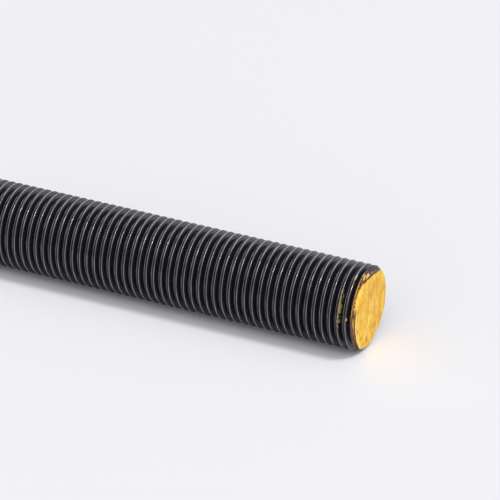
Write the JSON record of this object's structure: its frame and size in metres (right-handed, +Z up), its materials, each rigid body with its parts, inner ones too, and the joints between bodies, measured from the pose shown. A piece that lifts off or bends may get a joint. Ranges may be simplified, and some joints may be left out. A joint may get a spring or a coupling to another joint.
{
  "type": "threaded rod",
  "caption": "Straight black steel rod with a fine right-hand screw thread over its whole length, chamfered ends, and a yellow painted end face.",
  "frame": {"origin": "on the plane that the rod lies on, below the middle of its length", "axes": "+X along the rod, out of the painted end; +Z up, away from the plane that it lies on"},
  "size_m": [0.0902, 0.0158, 0.0158],
  "materials": {
    "black_steel": "black oxide with a film of oil, as rolled, rubbed bright along the crests",
    "yellow_paint": "thick brushed enamel with stains, chips and a ragged edge"
  },
  "bodies": {
    "root": {"rod": "black_steel", "end_paint": "yellow_paint"}
  },
  "joints": []
}
